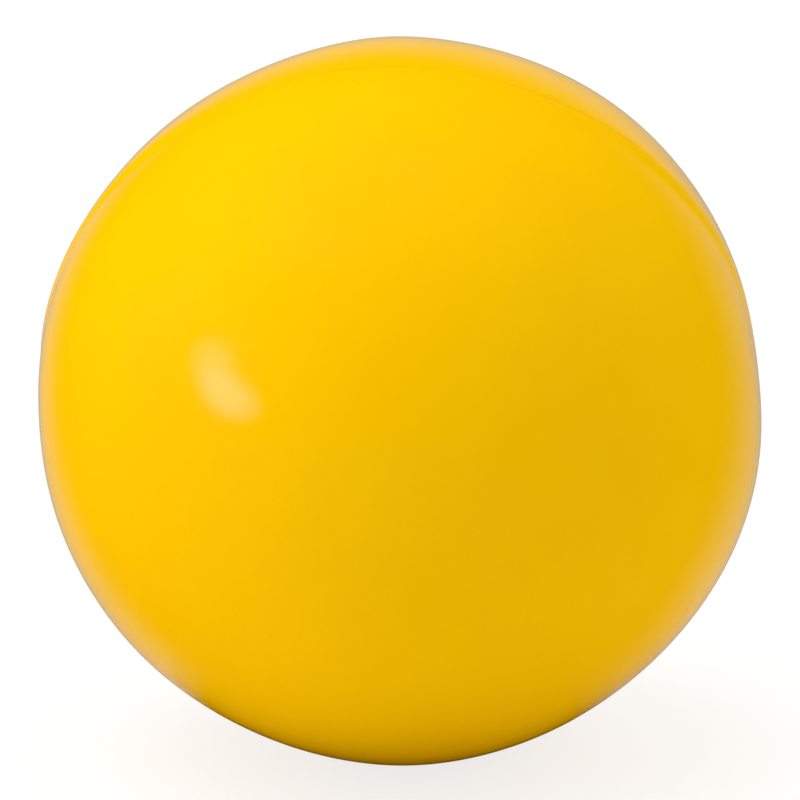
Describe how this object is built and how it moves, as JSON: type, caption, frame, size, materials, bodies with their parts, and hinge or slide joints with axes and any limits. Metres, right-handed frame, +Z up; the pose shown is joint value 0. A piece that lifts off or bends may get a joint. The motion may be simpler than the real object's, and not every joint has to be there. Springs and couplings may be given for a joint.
{
  "type": "stress ball",
  "caption": "Round foam stress ball with a glossy two-part moulded skin over a springy foam core, squeezed in the hand and resting on a small flat.",
  "frame": {"origin": "on the surface that the ball rests on, under the ball's centre", "axes": "+Z up, -Y towards the front of the ball as pictured, +X to the viewer's right; the mould axis lies in the YZ plane and dips 15 degrees at the front"},
  "size_m": [0.07, 0.07, 0.0698],
  "materials": {
    "foam": "matte",
    "skin": "gloss",
    "seam": "satin"
  },
  "bodies": {
    "front_half": {"front_skin": "skin", "foam_core": "foam", "seam_bead": "seam"},
    "rear_half": {"rear_skin": "skin"}
  },
  "joints": [
    {"name": "squeeze", "type": "slide", "parent": "front_half", "child": "rear_half", "axis": [0, -1, 0], "range_m": [0, 0.025], "stiffness_N_per_m": 1400, "deforming": ["foam_core", "front_skin", "seam_bead", "rear_skin"]}
  ]
}
